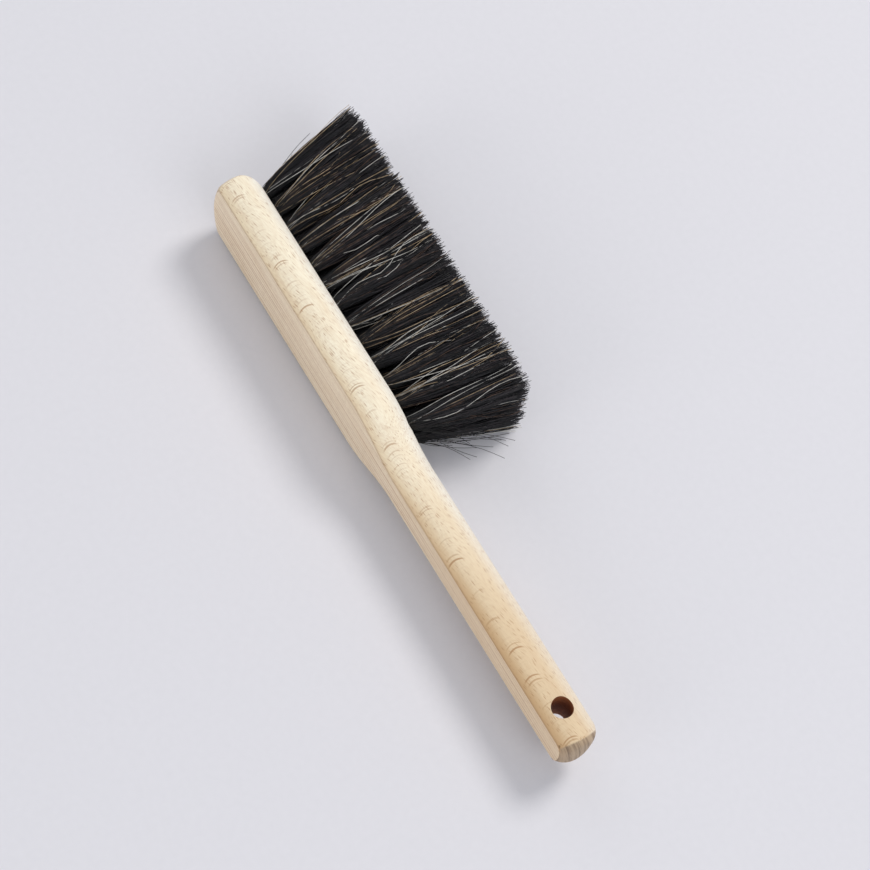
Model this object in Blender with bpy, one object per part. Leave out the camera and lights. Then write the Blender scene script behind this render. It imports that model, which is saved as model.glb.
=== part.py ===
"""Clothes brush: a one-piece beech body (head and handle) with tufts of horsehair in blind holes.

The brush lies on its side. +X runs from the toe to the handle end, +Y is the way the bristles point,
+Z is up. The flat back of the body faces -Y. The origin is under the middle of the brush's box, on
the surface that it lies on. Metres throughout.

The dimensions below are in brush coordinates: x from the toe's tip, "rise" from the flat back towards
the bristles, and z from the middle of the body's width.
"""
import math

import bmesh
import bpy
from mathutils import Vector

# Driving dimensions of the body.
LENGTH = 0.300
HEAD_HALF_WIDTH = 0.0215
HEAD_WIDEST_RISE = 0.0100
HEAD_BACK_RADIUS = 0.0144
HEAD_FRONT_RADIUS = 0.0096
HANDLE_RADIUS = 0.01185
HANDLE_AXIS_RISE = 0.0086
TAPER_START = 0.1248
TAPER_END = 0.1632

# The toe is rounded in plan (a superellipse) and its two long edges are rounded in side view.
TOE_PLAN_DEPTH = 0.0048
TOE_PLAN_POWER = 1.7
TOE_FRONT_RADIUS = 0.0105
TOE_BACK_RADIUS = 0.0025
TOE_SMALLEST = 0.08
TOE_BLEND = 0.001

# The handle end is one arc in side view, with its edge eased.
END_ARC_RADIUS = 0.0195
END_ARC_RISE = 0.0094
END_EASE = 0.0045

# The hanging hole runs through the handle from side to side.
HANG_HOLE_DIAMETER = 0.010
HANG_HOLE_X = 0.2822
HANG_HOLE_RISE = 0.0092
HANG_HOLE_SIDES = 32
HANG_DRILL_LENGTH = 0.036

# Tufts: rows across the head, holes in each row one pitch apart, every other row half a pitch along.
ROW_COUNTS = (13, 12, 13, 12)
ROW_SPACING = 0.0063
TUFT_PITCH = 0.01063
FIRST_TUFT_X = 0.0132
TUFT_HOLE_RADIUS = 0.0030
TUFT_HOLE_DEPTH = 0.0130
ROOT_RADIUS = 0.0027
ROOT_DEPTH = 0.0126
TUFT_SIDES = 12
COLLAR = 0.0006
DRILL_OVERRUN = 0.004

# The bristles fan out from the bristle face to their trimmed tips.
TIP_RISE = 0.0730
TIP_HALF_WIDTH = 0.0217
TOE_TIP_X = -0.0033
HANDLE_TIP_X = 0.1525
TIP_BULGE = 0.0040
TUFT_INSET = 0.00027

# Each tuft leaves its hole a little narrower than its root and flares in these steps: share of the
# way up, share of its full spread, and how square it has become.
NECK_RADIUS = 0.00248
FLARE_HEIGHTS = (0.10, 0.28, 1.0)
FLARE_FILL = (0.55, 1.0, 1.0)
FLARE_SQUARENESS = (3.0, 5.0, 7.0)

# Resolution of the body's skin.
BACK_ARC_STEPS = 6
FRONT_ARC_STEPS = 8
TOE_RINGS = 7
TAPER_RINGS = 12
GRIP_RINGS = 2
END_RINGS = 6
MERGE_DISTANCE = 0.00001
BODY_CREASE_ANGLE = math.radians(35)
TUFT_CREASE_ANGLE = math.radians(50)

# Plain finishes: linear colour and roughness.
BEECH_COLOUR = (0.80, 0.66, 0.47)
BEECH_ROUGHNESS = 0.55
HORSEHAIR_COLOUR = (0.020, 0.017, 0.019)
HORSEHAIR_ROUGHNESS = 0.45

# The frame: brush coordinates (toe tip, flat back, middle plane) to the part's own.
BOX_MIDDLE_X = (LENGTH + TOE_TIP_X - TIP_BULGE) / 2
BOX_MIDDLE_Y = TIP_RISE / 2
ORIGIN_SHIFT = Vector((-BOX_MIDDLE_X, -BOX_MIDDLE_Y, HEAD_HALF_WIDTH))


def smooth_step(value, start, end):
    """0 before start, 1 after end, and an S curve between."""
    share = min(max((value - start) / (end - start), 0.0), 1.0)
    return share * share * (3 - 2 * share)


def mix(first, second, share):
    return first + (second - first) * share


def body_section(x):
    """Half outline of the body at x, from the back edge round the side to the bristle face."""
    share = smooth_step(x, TAPER_START, TAPER_END)
    half_width = mix(HEAD_HALF_WIDTH, HANDLE_RADIUS, share)
    widest_rise = mix(HEAD_WIDEST_RISE, HANDLE_AXIS_RISE, share)
    back_radius = mix(HEAD_BACK_RADIUS, HANDLE_RADIUS, share)
    front_radius = mix(HEAD_FRONT_RADIUS, HANDLE_RADIUS, share)
    points = []
    sweep = math.asin(widest_rise / back_radius)
    for step in range(BACK_ARC_STEPS):
        angle = sweep * (1 - step / BACK_ARC_STEPS)
        rise = widest_rise - back_radius * math.sin(angle)
        points.append((rise, half_width - back_radius * (1 - math.cos(angle))))
    for step in range(FRONT_ARC_STEPS + 1):
        angle = math.pi / 2 * step / FRONT_ARC_STEPS
        rise = widest_rise + front_radius * math.sin(angle)
        points.append((rise, half_width - front_radius * (1 - math.cos(angle))))
    return points


def toe_setback(rise):
    """How far the toe's end lies behind its tip at this rise."""
    front = HEAD_WIDEST_RISE + HEAD_FRONT_RADIUS - TOE_FRONT_RADIUS
    if rise > front:
        drop = min(rise - front, TOE_FRONT_RADIUS)
        return TOE_FRONT_RADIUS - math.sqrt(TOE_FRONT_RADIUS ** 2 - drop ** 2)
    if rise < TOE_BACK_RADIUS:
        drop = TOE_BACK_RADIUS - rise
        return TOE_BACK_RADIUS - math.sqrt(TOE_BACK_RADIUS ** 2 - drop ** 2)
    return 0.0


def end_x(rise):
    """Where the handle ends at this rise."""
    sagitta = END_ARC_RADIUS - math.sqrt(END_ARC_RADIUS ** 2 - (rise - END_ARC_RISE) ** 2)
    return LENGTH - sagitta


def toe_ring(number):
    """Ring of the rounded toe: number 0 is at the very tip, TOE_RINGS where the full width starts."""
    angle = math.pi / 2 * number / TOE_RINGS
    fullness = max(math.sin(angle), TOE_SMALLEST)
    back_off = (1 - fullness ** TOE_PLAN_POWER) ** (1 / TOE_PLAN_POWER)
    ring_x = TOE_PLAN_DEPTH * (1 - back_off)
    return [(ring_x + toe_setback(rise), rise, z * fullness) for rise, z in body_section(0.0)]


def end_ring(number):
    """Ring of the eased handle end: number 0 is where the easing starts, END_RINGS is the end face."""
    angle = math.pi / 2 * number / END_RINGS
    inset = END_EASE * (1 - math.cos(angle))
    forward = END_EASE * (1 - math.sin(angle))
    top = HANDLE_AXIS_RISE + HANDLE_RADIUS
    ring = []
    for rise, z in body_section(LENGTH):
        eased_rise = rise * (top - inset) / top
        eased_z = z * (HANDLE_RADIUS - inset) / HANDLE_RADIUS
        ring.append((end_x(eased_rise) - forward, eased_rise, eased_z))
    return ring


def body_rings():
    """Every ring of the body from toe to handle end."""
    rings = [toe_ring(number) for number in range(TOE_RINGS + 1)]
    full_x = TOE_PLAN_DEPTH + TOE_FRONT_RADIUS + TOE_BLEND
    taper = [mix(TAPER_START, TAPER_END, number / TAPER_RINGS) for number in range(TAPER_RINGS + 1)]
    grip_end = LENGTH - END_ARC_RADIUS
    grip = [mix(TAPER_END, grip_end, number / GRIP_RINGS) for number in range(1, GRIP_RINGS + 1)]
    for x in [full_x] + taper + grip:
        rings.append([(x, rise, z) for rise, z in body_section(x)])
    rings += [end_ring(number) for number in range(END_RINGS + 1)]
    return rings


def make_material(name, colour, roughness):
    """A plain Principled finish."""
    material = bpy.data.materials.new(name)
    material.use_nodes = True
    shader = material.node_tree.nodes["Principled BSDF"]
    shader.inputs["Base Color"].default_value = (*colour, 1.0)
    shader.inputs["Roughness"].default_value = roughness
    shader.inputs["Metallic"].default_value = 0.0
    material.diffuse_color = (*colour, 1.0)
    return material


def add_object(name, mesh, material=None):
    """An object of its own for a mesh, placed in the part's frame by its location."""
    piece = bpy.data.objects.new(name, mesh)
    piece.location = ORIGIN_SHIFT
    if material:
        mesh.materials.append(material)
    bpy.context.scene.collection.objects.link(piece)
    return piece


def mark_cutter(piece):
    piece.hide_render = True
    piece.display_type = "WIRE"


def make_body(material):
    """The one-piece beech body: rings bridged from toe to end, capped across at both ends."""
    mesh = bpy.data.meshes.new("beech_body")
    model = bmesh.new()
    loops = []
    for ring in body_rings():
        upper = [model.verts.new((x, rise, z)) for x, rise, z in ring]
        lower = [model.verts.new((x, rise, -z)) for x, rise, z in reversed(ring)]
        loops.append(upper + lower)
    for first, second in zip(loops, loops[1:]):
        count = len(first)
        for index in range(count):
            after = (index + 1) % count
            model.faces.new((first[index], first[after], second[after], second[index]))
    for loop in (loops[0], loops[-1]):
        half = len(loop) // 2
        for index in range(half - 1):
            opposite = len(loop) - 1 - index
            model.faces.new((loop[index], loop[index + 1], loop[opposite - 1], loop[opposite]))
    bmesh.ops.remove_doubles(model, verts=model.verts, dist=MERGE_DISTANCE)
    bmesh.ops.recalc_face_normals(model, faces=model.faces)
    model.to_mesh(mesh)
    model.free()
    mesh.shade_smooth()
    mesh.set_sharp_from_angle(angle=BODY_CREASE_ANGLE)
    return add_object("beech_body", mesh, material)


def add_cylinder(model, centre, axis, radius, depth, sides):
    """A closed cylinder in an open bmesh, its middle at centre, its length along axis."""
    made = bmesh.ops.create_cone(model, cap_ends=True, segments=sides, radius1=radius,
                                 radius2=radius, depth=depth)
    turn = Vector((0, 0, 1)).rotation_difference(axis).to_matrix()
    bmesh.ops.rotate(model, verts=made["verts"], matrix=turn, cent=(0, 0, 0))
    bmesh.ops.translate(model, verts=made["verts"], vec=centre)


def tuft_places():
    """Row number, place in the row, x and z of every tuft hole."""
    middle = (len(ROW_COUNTS) - 1) / 2
    for row, count in enumerate(ROW_COUNTS):
        z = (middle - row) * ROW_SPACING
        stagger = (max(ROW_COUNTS) - count) / 2
        for place in range(count):
            yield row, place, FIRST_TUFT_X + (place + stagger) * TUFT_PITCH, z


def drill_body(body):
    """The hanging hole through the handle, and one blind hole in the bristle face for each tuft."""
    model = bmesh.new()
    face_rise = HEAD_WIDEST_RISE + HEAD_FRONT_RADIUS
    for row, place, x, z in tuft_places():
        centre = Vector((x, face_rise + (DRILL_OVERRUN - TUFT_HOLE_DEPTH) / 2, z))
        add_cylinder(model, centre, Vector((0, 1, 0)), TUFT_HOLE_RADIUS,
                     TUFT_HOLE_DEPTH + DRILL_OVERRUN, TUFT_SIDES)
    hang_centre = Vector((HANG_HOLE_X, HANG_HOLE_RISE, 0))
    add_cylinder(model, hang_centre, Vector((0, 0, 1)), HANG_HOLE_DIAMETER / 2,
                 HANG_DRILL_LENGTH, HANG_HOLE_SIDES)
    mesh = bpy.data.meshes.new("drill_cutter")
    model.to_mesh(mesh)
    model.free()
    cutter = add_object("drill_cutter", mesh)
    mark_cutter(cutter)
    drill = body.modifiers.new("drilled_holes", "BOOLEAN")
    drill.operation = "DIFFERENCE"
    drill.solver = "EXACT"
    drill.object = cutter


def fan_point(along, across, rise):
    """A point of the bristle fan: along and across run from -1 to 1, rise from face 0 to tips 1."""
    last_x = FIRST_TUFT_X + (max(ROW_COUNTS) - 1) * TUFT_PITCH
    base_x = mix(FIRST_TUFT_X - TUFT_PITCH / 2, last_x + TUFT_PITCH / 2, (along + 1) / 2)
    base_z = across * ROW_SPACING * len(ROW_COUNTS) / 2
    bulge = TIP_BULGE * (1 - across * across)
    tip_x = mix(TOE_TIP_X - bulge, HANDLE_TIP_X + bulge, (along + 1) / 2)
    tip_z = across * TIP_HALF_WIDTH
    face_rise = HEAD_WIDEST_RISE + HEAD_FRONT_RADIUS + COLLAR
    return Vector((mix(base_x, tip_x, rise), mix(face_rise, TIP_RISE, rise), mix(base_z, tip_z, rise)))


def squared(angle, power):
    """A point of a superellipse one unit in half size, nearly square at a high power."""
    cosine = math.cos(angle)
    sine = math.sin(angle)
    reach = (abs(cosine) ** power + abs(sine) ** power) ** (-1 / power)
    return cosine * reach, sine * reach


def tuft_rings(row, place, x, z):
    """Rings of one tuft from the bottom of its root to its trimmed tip."""
    longest = max(ROW_COUNTS)
    count = ROW_COUNTS[row]
    stagger = (longest - count) / 2
    left = -1 + 2 * (place + stagger) / longest
    right = left + 2 / longest
    if place == 0:
        left = -1.0
    if place == count - 1:
        right = 1.0
    top = 1 - 2 * row / len(ROW_COUNTS)
    bottom = top - 2 / len(ROW_COUNTS)
    angles = [2 * math.pi * (step + 0.5) / TUFT_SIDES for step in range(TUFT_SIDES)]
    face_rise = HEAD_WIDEST_RISE + HEAD_FRONT_RADIUS
    rings = []
    for rise in (face_rise - ROOT_DEPTH, face_rise + COLLAR):
        rings.append([Vector((x + ROOT_RADIUS * math.cos(angle), rise, z + ROOT_RADIUS * math.sin(angle)))
                      for angle in angles])
    for height, fill, power in zip(FLARE_HEIGHTS, FLARE_FILL, FLARE_SQUARENESS):
        ring = []
        for angle in angles:
            over, up = squared(angle, power)
            middle = fan_point((left + right) / 2, (top + bottom) / 2, height)
            edge = fan_point((left + right) / 2 + over * (right - left) / 2,
                             (top + bottom) / 2 + up * (top - bottom) / 2, height)
            reach = edge - middle
            reach.length = reach.length - TUFT_INSET
            core = Vector((x - middle.x + NECK_RADIUS * math.cos(angle), 0,
                           z - middle.z + NECK_RADIUS * math.sin(angle)))
            ring.append(middle + core.lerp(reach, fill))
        rings.append(ring)
    return rings


def make_tuft(row, place, x, z, material):
    """One bundle of hair: a round root in its blind hole, flaring to its share of the trimmed tips."""
    name = f"tuft_row{row + 1}_{place + 1:02d}"
    mesh = bpy.data.meshes.new(name)
    model = bmesh.new()
    loops = [[model.verts.new(point) for point in ring] for ring in tuft_rings(row, place, x, z)]
    for first, second in zip(loops, loops[1:]):
        for index in range(TUFT_SIDES):
            after = (index + 1) % TUFT_SIDES
            model.faces.new((first[index], first[after], second[after], second[index]))
    model.faces.new(list(reversed(loops[0])))
    model.faces.new(loops[-1])
    bmesh.ops.recalc_face_normals(model, faces=model.faces)
    model.to_mesh(mesh)
    model.free()
    mesh.shade_smooth()
    mesh.set_sharp_from_angle(angle=TUFT_CREASE_ANGLE)
    return add_object(name, mesh, material)


def main():
    for piece in list(bpy.data.objects):
        bpy.data.objects.remove(piece, do_unlink=True)
    beech = make_material("beech", BEECH_COLOUR, BEECH_ROUGHNESS)
    horsehair = make_material("horsehair", HORSEHAIR_COLOUR, HORSEHAIR_ROUGHNESS)
    body = make_body(beech)
    drill_body(body)
    for row, place, x, z in tuft_places():
        make_tuft(row, place, x, z, horsehair)


main()
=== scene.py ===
import math

import bmesh
import bpy
import numpy as np
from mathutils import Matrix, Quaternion, Vector


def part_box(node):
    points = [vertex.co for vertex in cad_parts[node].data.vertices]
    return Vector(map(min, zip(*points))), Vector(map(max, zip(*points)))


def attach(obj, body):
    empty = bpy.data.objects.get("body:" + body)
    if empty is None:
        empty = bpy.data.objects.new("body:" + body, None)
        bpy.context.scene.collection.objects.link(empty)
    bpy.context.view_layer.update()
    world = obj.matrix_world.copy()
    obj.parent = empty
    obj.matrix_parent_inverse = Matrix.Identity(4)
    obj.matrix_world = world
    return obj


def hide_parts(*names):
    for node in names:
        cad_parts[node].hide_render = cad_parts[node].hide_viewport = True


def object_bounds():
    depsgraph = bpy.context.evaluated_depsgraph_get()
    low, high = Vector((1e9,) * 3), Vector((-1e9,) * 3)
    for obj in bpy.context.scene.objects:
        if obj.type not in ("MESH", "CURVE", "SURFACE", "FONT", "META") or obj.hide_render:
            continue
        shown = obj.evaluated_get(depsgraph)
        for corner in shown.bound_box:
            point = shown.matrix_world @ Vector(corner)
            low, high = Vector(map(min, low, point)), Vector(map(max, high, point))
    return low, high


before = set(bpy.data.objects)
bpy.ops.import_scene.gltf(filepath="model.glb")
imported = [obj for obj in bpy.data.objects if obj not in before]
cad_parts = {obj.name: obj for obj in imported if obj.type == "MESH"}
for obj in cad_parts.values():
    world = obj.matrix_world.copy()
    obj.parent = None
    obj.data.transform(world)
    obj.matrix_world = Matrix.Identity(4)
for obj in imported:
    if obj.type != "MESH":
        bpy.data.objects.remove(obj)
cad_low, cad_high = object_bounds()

# ---------------------------------------------------------------------------------------------------
# The brush's own measures, in metres. It lies on its side: x runs from the toe to the handle's end,
# "rise" goes up from the flat back towards the bristles (+Y), and z is counted from the middle.
# ---------------------------------------------------------------------------------------------------
BODY_LOW, BODY_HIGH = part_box("beech_body")
LENGTH = BODY_HIGH.x - BODY_LOW.x
HEAD_HALF_WIDTH = (BODY_HIGH.z - BODY_LOW.z) / 2
BODY_ORIGIN = Vector((BODY_LOW.x, BODY_LOW.y, (BODY_HIGH.z + BODY_LOW.z) / 2))

HEAD_BACK_RADIUS = 0.0144
HEAD_FRONT_RADIUS = 0.0096
HEAD_WIDEST_RISE = 0.0100
FACE_RISE = HEAD_WIDEST_RISE + HEAD_FRONT_RADIUS
HANDLE_RADIUS = 0.01185
HANDLE_AXIS_RISE = 0.0086
TAPER_START = 0.1248
TAPER_END = 0.1632
TOE_PLAN_DEPTH = 0.0048
TOE_PLAN_POWER = 1.7
TOE_NARROWEST = 0.03
TOE_FRONT_RADIUS = 0.0105
TOE_BACK_RADIUS = 0.0025
END_ARC_RADIUS = 0.0195
END_ARC_RISE = 0.0094
END_EASE = 0.0045
HANG_HOLE_RADIUS = 0.0048
HANG_HOLE_X = 0.2822
HANG_HOLE_RISE = 0.0096

ARC_STEPS = 13
TAPER_CUTS = 26
TOE_STEPS = 16
END_EASE_STEPS = 6
END_CAP_SCALES = (0.75, 0.5, 0.25, 0.05)
END_DOME = 0.0006
HOLE_SIDES = 64
CREASE_EASE = 0.00035
HOLE_EASE = 0.00015
EASE_STEPS = 3
SMOOTH_ANGLE = math.radians(28)
CLOSE = 0.00001


def linear(code):
    """An sRGB hex colour as linear red, green, blue and alpha."""
    parts = [int(code[index:index + 2], 16) / 255 for index in (1, 3, 5)]
    return [part / 12.92 if part <= 0.04045 else ((part + 0.055) / 1.055) ** 2.4 for part in parts] + [1.0]


def spot(x, rise, z=0.0):
    """A place on the body as a point in the scene."""
    return BODY_ORIGIN + Vector((x, rise, z))


# ---------------------------------------------------------------------------------------------------
# Modelling steps
# ---------------------------------------------------------------------------------------------------
def deselect():
    """Object mode with nothing selected, before any operator works on a piece."""
    if bpy.context.object and bpy.context.object.mode != "OBJECT":
        bpy.ops.object.mode_set(mode="OBJECT")
    bpy.ops.object.select_all(action="DESELECT")


def take_up(piece, mode="OBJECT"):
    """Selects one piece alone and makes it active."""
    deselect()
    piece.select_set(True)
    bpy.context.view_layer.objects.active = piece
    bpy.ops.object.mode_set(mode=mode)


def settle(piece):
    """Puts the piece's place, turn and size into its mesh."""
    take_up(piece)
    bpy.ops.object.transform_apply(location=True, rotation=True, scale=True)


def pick(kind, wanted):
    """In edit mode, selects only the points, edges or faces that are wanted."""
    bpy.ops.mesh.select_mode(type=kind)
    bpy.ops.mesh.select_all(action="DESELECT")
    model = bmesh.from_edit_mesh(bpy.context.edit_object.data)
    for item in {"VERT": model.verts, "EDGE": model.edges, "FACE": model.faces}[kind]:
        if wanted(item):
            item.select_set(True)
    model.select_flush_mode()
    bmesh.update_edit_mesh(bpy.context.edit_object.data)


def slide_rows(inside, how_far):
    """Slides each lengthwise row of points in a region along the brush, by a distance set by its rise."""
    rows = {}
    for vert in bmesh.from_edit_mesh(bpy.context.edit_object.data).verts:
        if inside(vert.co.x):
            rows.setdefault(round((vert.co.y - BODY_ORIGIN.y) / CLOSE), set()).add(vert.index)
    for level, members in rows.items():
        pick("VERT", lambda vert: vert.index in members)
        bpy.ops.transform.translate(value=(how_far(level * CLOSE), 0, 0))


# ---------------------------------------------------------------------------------------------------
# Materials
# ---------------------------------------------------------------------------------------------------
def add_node(tree, kind, inputs=(), **settings):
    """A node with its settings, and its inputs set to a value or linked from another node's socket."""
    made = tree.nodes.new(kind)
    for key, value in settings.items():
        setattr(made, key, value)
    for key, value in dict(inputs).items():
        if isinstance(value, bpy.types.NodeSocket):
            tree.links.new(value, made.inputs[key])
        else:
            made.inputs[key].default_value = value
    return made


def new_material(name):
    """A new material with its node tree and its Principled BSDF."""
    material = bpy.data.materials.new(name)
    material.use_nodes = True
    tree = material.node_tree
    return material, tree, tree.nodes["Principled BSDF"]


# Patterns in beech, sizes in metres. Dashes run along the grain, which wanders a little. A rate is how
# many patches of a noise fit in a metre, along x, y and z or in every direction.
GRAIN_SLOPE = math.radians(13)
GRAIN_WANDER_RATE = 38.0
GRAIN_WANDER = 0.0060
DASH_LENGTH = 0.0046
DASH_SPACING = 0.00062
ARC_MIDDLE_RISE = 0.0050
ARC_WANDER = 0.0045
ARC_HALF_HEIGHT = 0.0042
ARC_CURVE = 95.0
ARC_SHIFT_RATE = 60.0
ARC_BAND_RATE = 900.0
ARC_GROUP_RATE = 130.0
ARC_SHORTEST = 0.6
RING_TURN = math.radians(53)
PITH_DISTANCE = 0.045
RING_WIDTH = 0.0026
RING_WANDER = 0.0012
RING_SLOPE = 0.015
RING_WANDER_RATES = (18, 60, 60)
RING_UNEVENNESS = 1.5
RING_PATCH_RATES = (14, 300, 300)
END_STREAK_TURN = math.radians(-10)
END_STREAK_RATES = (30, 1300, 60)
# Real fibres are about 0.02 mm wide. They are drawn half a millimetre wide, so that they show.
FIBRE_RATES = (260, 1900, 1900)
CLOUD_RATES = (25, 130, 130)
# Where the tones and the painted light and shade change, as distances along the brush and rises from the flat
# back.
HANDLE_TONE_SPAN = (-0.03, 0.11)
LOW_SHADE_RISES = (0.0055, 0.0)
CREASE_PORES_AND_SHADE_RISES = (0.0008, 0.0002)
BRISTLE_SIDE_LIGHT_RISES = (0.0110, 0.0190)
# Relief of dashes and fibres, 0.2 mm at most.
RELIEF_DEPTH = 0.0002
DRILL_TEAR_RATES = (500, 500, 2500)


def beech_rings(tree, place):
    """Late-wood lines: distance from the pith, wandering slowly, cut into rings of uneven width."""
    turned = add_node(tree, "ShaderNodeMapping", {"Vector": place, "Rotation": (RING_TURN, 0, 0),
                                                  "Scale": (0, 1, 1), "Location": (0, 0, PITH_DISTANCE)})
    reach = add_node(tree, "ShaderNodeVectorMath", {0: turned.outputs[0]}, operation="LENGTH")
    along = add_node(tree, "ShaderNodeSeparateXYZ", {0: place})
    sloped = add_node(tree, "ShaderNodeMath", {0: along.outputs[0], 1: RING_SLOPE, 2: reach.outputs["Value"]},
                      operation="MULTIPLY_ADD")
    slow = add_node(tree, "ShaderNodeMapping", {"Vector": place, "Scale": RING_WANDER_RATES})
    wander = add_node(tree, "ShaderNodeTexNoise", {"Vector": slow.outputs[0], "Scale": 1.0, "Detail": 2.0})
    depth = add_node(tree, "ShaderNodeMath", {0: wander.outputs[0], 1: RING_WANDER, 2: sloped.outputs[0]},
                     operation="MULTIPLY_ADD")
    years = add_node(tree, "ShaderNodeMath", {0: depth.outputs[0], 1: RING_WIDTH}, operation="DIVIDE")
    growth = add_node(tree, "ShaderNodeTexNoise", {"W": years.outputs[0], "Scale": 0.6, "Detail": 1.0},
                      noise_dimensions="1D")
    uneven = add_node(tree, "ShaderNodeMath", {0: growth.outputs[0], 1: RING_UNEVENNESS, 2: years.outputs[0]},
                      operation="MULTIPLY_ADD")
    ring = add_node(tree, "ShaderNodeMath", {0: uneven.outputs[0]}, operation="FRACT")
    line = add_node(tree, "ShaderNodeMapRange", {"Value": ring.outputs[0], "From Min": 0.55,
                                                 "From Max": 0.98})
    strip = add_node(tree, "ShaderNodeMapping", {"Vector": place, "Scale": RING_PATCH_RATES})
    patches = add_node(tree, "ShaderNodeTexNoise", {"Vector": strip.outputs[0], "Scale": 1.0, "Detail": 1.0})
    strength = add_node(tree, "ShaderNodeMapRange", {"Value": patches.outputs[0], "From Min": 0.36,
                                                     "From Max": 0.66, "To Min": 0.15})
    return add_node(tree, "ShaderNodeMath", {0: line.outputs[0], 1: strength.outputs[0]},
                    operation="MULTIPLY").outputs[0]


def beech_dashes(tree, wood):
    """Rays cut across: brown dashes about 3 mm long and a third of a millimetre wide."""
    cells = add_node(tree, "ShaderNodeMapping", {"Vector": wood, "Scale": (
        1 / DASH_LENGTH, 1 / DASH_SPACING, 1 / DASH_SPACING)})
    rays = add_node(tree, "ShaderNodeTexVoronoi", {"Vector": cells.outputs[0], "Scale": 1.0})
    core = add_node(tree, "ShaderNodeMapRange", {"Value": rays.outputs["Distance"], "From Min": 0.16,
                                                 "From Max": 0.42, "To Min": 1.0, "To Max": 0.0})
    each = add_node(tree, "ShaderNodeSeparateColor", {0: rays.outputs["Color"]})
    shade = add_node(tree, "ShaderNodeMapRange", {"Value": each.outputs[0], "From Min": 0.20,
                                                  "From Max": 0.95})
    return add_node(tree, "ShaderNodeMath", {0: core.outputs[0], 1: shade.outputs[0]},
                    operation="MULTIPLY").outputs[0]


def beech_arcs(tree, where):
    """Rays cut along: short brown arcs that stand up from the back's edge, in loose groups."""
    shift = add_node(tree, "ShaderNodeTexNoise", {"W": where[0], "Scale": ARC_SHIFT_RATE, "Detail": 0.0},
                     noise_dimensions="1D")
    middle = add_node(tree, "ShaderNodeMath", {0: shift.outputs[0], 1: ARC_WANDER, 2: (
        BODY_LOW.y + ARC_MIDDLE_RISE - ARC_WANDER / 2)}, operation="MULTIPLY_ADD")
    height = add_node(tree, "ShaderNodeMath", {0: where[1], 1: middle.outputs[0]}, operation="SUBTRACT")
    square = add_node(tree, "ShaderNodeMath", {0: height.outputs[0], 1: 2.0}, operation="POWER")
    bowed = add_node(tree, "ShaderNodeMath", {0: square.outputs[0], 1: -ARC_CURVE, 2: where[0]},
                     operation="MULTIPLY_ADD")
    bands = add_node(tree, "ShaderNodeTexNoise", {"W": bowed.outputs[0], "Scale": ARC_BAND_RATE,
                                                  "Detail": 0.0}, noise_dimensions="1D")
    band = add_node(tree, "ShaderNodeMapRange", {"Value": bands.outputs[0], "From Min": 0.54,
                                                 "From Max": 0.66}, interpolation_type="SMOOTHSTEP")
    groups = add_node(tree, "ShaderNodeTexNoise", {"W": bowed.outputs[0], "Scale": ARC_GROUP_RATE,
                                                   "Detail": 1.0}, noise_dimensions="1D")
    group = add_node(tree, "ShaderNodeMapRange", {"Value": groups.outputs[0], "From Min": 0.50,
                                                  "From Max": 0.70, "To Min": 0.08})
    tall = add_node(tree, "ShaderNodeMapRange", {"Value": groups.outputs[0], "From Min": 0.35,
                                                 "From Max": 0.7, "To Min": ARC_SHORTEST * ARC_HALF_HEIGHT,
                                                 "To Max": ARC_HALF_HEIGHT})
    away = add_node(tree, "ShaderNodeMath", {0: height.outputs[0]}, operation="ABSOLUTE")
    share = add_node(tree, "ShaderNodeMath", {0: away.outputs[0], 1: tall.outputs[0]}, operation="DIVIDE")
    window = add_node(tree, "ShaderNodeMapRange", {"Value": share.outputs[0], "From Min": 1.0,
                                                   "From Max": 0.5}, interpolation_type="SMOOTHSTEP")
    both = add_node(tree, "ShaderNodeMath", {0: band.outputs[0], 1: group.outputs[0]}, operation="MULTIPLY")
    return add_node(tree, "ShaderNodeMath", {0: both.outputs[0], 1: window.outputs[0]},
                    operation="MULTIPLY").outputs[0]


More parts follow.
